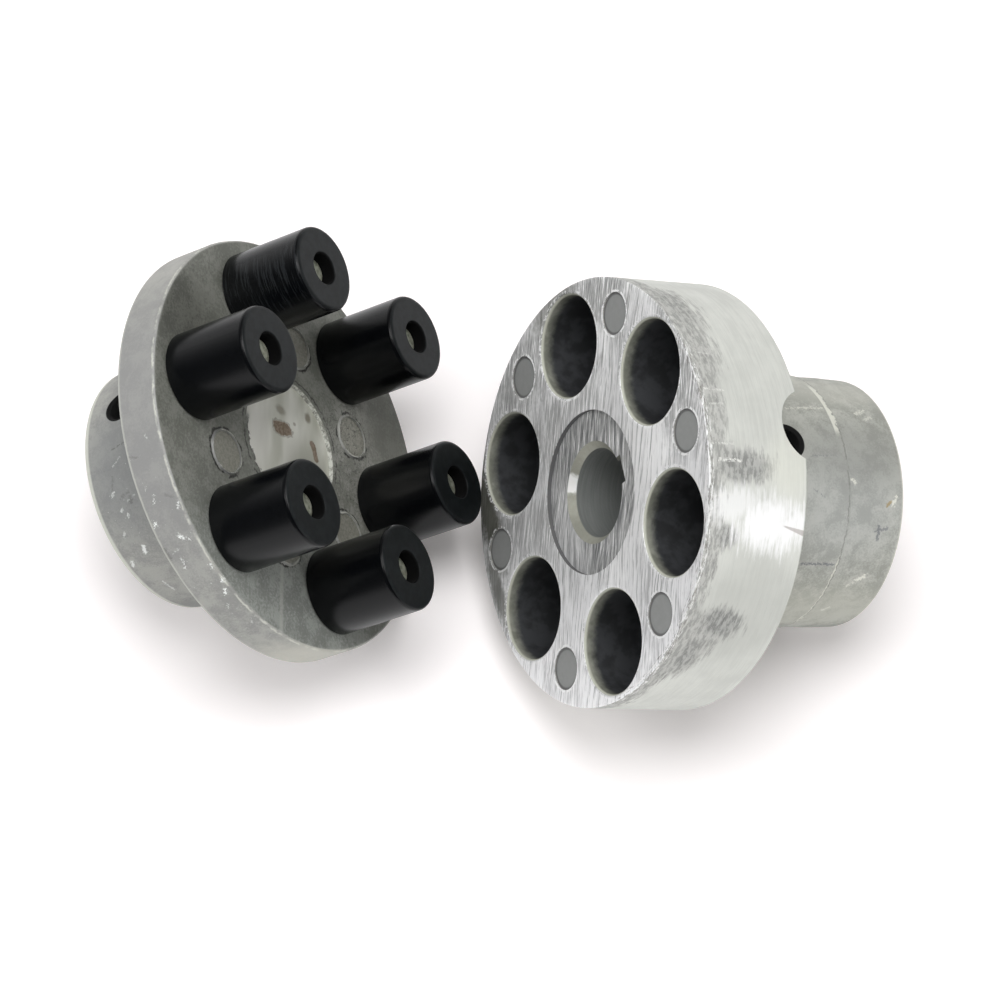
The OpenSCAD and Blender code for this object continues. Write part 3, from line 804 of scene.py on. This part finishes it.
# The floor's colour for bounced light and for the camera, and its glow in reflections
FLOOR_TONE, FLOOR_SEEN, FLOOR_GLOW = (0.86, 0.855, 0.86), (1.1, 1.06, 1.063), 0.05
# Distances from the origin between which the floor turns plain white
FADE_START, FADE_END = 0.15, 0.45
# The world's strength for diffuse light, and in reflections of the ceiling and of the front
AMBIENT, CEILING_GLOSS, FRONT_GLOSS = 0.47, 0.2, 0.12

PHOTO_WIDTH_PX, FOCAL_PX = 983, 4078.287
SENSOR_WIDTH_MM = 36
CAMERA_DOWN, CAMERA_ROLL = 62.237, 4.009
CAMERA_PLACE = (-0.00014, -0.538045, 1.069572)


def floor_material():
    """White floor that shows the shadow near the object and is plain white up to the horizon."""
    t = Tree(bpy.data.materials.new("floor_white"))
    to_camera = t.out("ShaderNodeLightPath", "Is Camera Ray")
    to_gloss = t.out("ShaderNodeLightPath", "Is Glossy Ray")
    paper = t.out("ShaderNodeBsdfDiffuse", 0, t.mix(to_camera, FLOOR_TONE, FLOOR_SEEN))
    glow = t.out("ShaderNodeEmission", 0, WHITE, to_gloss * FLOOR_GLOW)
    near = t.out("ShaderNodeAddShader", 0, paper, glow)
    distance = t.measure("LENGTH", t.out("ShaderNodeTexCoord", "Object"))
    far = t.out("ShaderNodeEmission", 0, WHITE)
    seen = t.out("ShaderNodeMixShader", 0, t.step(distance, FADE_START, FADE_END) * to_camera, near, far)
    t.node("ShaderNodeOutputMaterial", seen)
    return t.owner


def lay_floor():
    mesh = bpy.data.meshes.new("floor")
    corners = [(-1, -1), (1, -1), (1, 1), (-1, 1)]
    mesh.from_pydata([(x * FLOOR_HALF, y * FLOOR_HALF, 0) for x, y in corners], [], [(0, 1, 2, 3)])
    mesh.materials.append(floor_material())
    floor = bpy.data.objects.new("floor", mesh)
    bpy.context.scene.collection.objects.link(floor)


def area_light(name, place, target, size, power, glossy=True):
    light = bpy.data.lights.new(name, "AREA")
    light.shape = "DISK"
    light.size = size
    light.energy = power
    lamp = bpy.data.objects.new(name, light)
    lamp.location = place
    lamp.rotation_euler = (Vector(target) - Vector(place)).to_track_quat("-Z", "Y").to_euler()
    lamp.visible_glossy = glossy
    bpy.context.scene.collection.objects.link(lamp)


def studio_world():
    """White for the camera. Glossy rays see a white horizon behind the object, below a darker ceiling."""
    world = bpy.data.worlds.new("studio")
    bpy.context.scene.world = world
    t = Tree(world)
    to_camera = t.out("ShaderNodeLightPath", "Is Camera Ray")
    to_gloss = t.out("ShaderNodeLightPath", "Is Glossy Ray")
    way = t.out("ShaderNodeTexCoord", "Generated")
    split = t.node("ShaderNodeSeparateXYZ", way)
    ceiling = t.span(Val(t, split.outputs["Z"]), 0.1, 0.45, 1.0, CEILING_GLOSS)
    behind = t.span(Val(t, split.outputs["Y"]), -0.2, 0.4, FRONT_GLOSS, 1.0)
    level = t.lerp(to_camera, t.lerp(to_gloss, AMBIENT, ceiling * behind), 1.0)
    t.node("ShaderNodeOutputWorld", t.out("ShaderNodeBackground", 0, WHITE, level))


def photo_camera():
    """A camera that stands and points as the photo's did."""
    down, roll = math.radians(CAMERA_DOWN), math.radians(CAMERA_ROLL)
    ahead = Vector((0, math.cos(down), -math.sin(down)))
    level_right, level_up = Vector((1, 0, 0)), Vector((0, math.sin(down), math.cos(down)))
    right = level_right * math.cos(roll) + level_up * math.sin(roll)
    up = level_up * math.cos(roll) - level_right * math.sin(roll)
    lens = bpy.data.cameras.new("camera")
    lens.sensor_width = SENSOR_WIDTH_MM
    lens.lens = SENSOR_WIDTH_MM * FOCAL_PX / PHOTO_WIDTH_PX
    lens.clip_start, lens.clip_end = 0.05, 20
    camera = bpy.data.objects.new("camera", lens)
    placed = Matrix((right, up, -ahead)).transposed().to_4x4()
    placed.translation = Vector(CAMERA_PLACE)
    camera.matrix_world = placed
    bpy.context.scene.collection.objects.link(camera)
    bpy.context.scene.camera = camera


paint(socket_half_material(), "socket_half")
paint(pin_half_material(), "pin_half")
paint(rubber_material(), *[f"rubber_bush_{i}" for i in range(1, PLACES + 1)])
paint(pin_material(), *[f"drive_pin_{i}" for i in range(1, PLACES + 1)])
paint(screw_material(), "pin_half_set_screw", "socket_half_set_screw")

lay_floor()
area_light("key_light", (0.0, 0.0, 1.4), (0, 0, 0.05), 0.9, 12)
area_light("left_light", (-1.2, -0.45, 1.1), (0, 0, 0.05), 1.2, 9, glossy=False)
area_light("right_light", (1.2, -0.52, 0.5), (0.05, 0, 0.06), 0.7, 3)
studio_world()
photo_camera()
bpy.context.scene.view_settings.view_transform = "Standard"
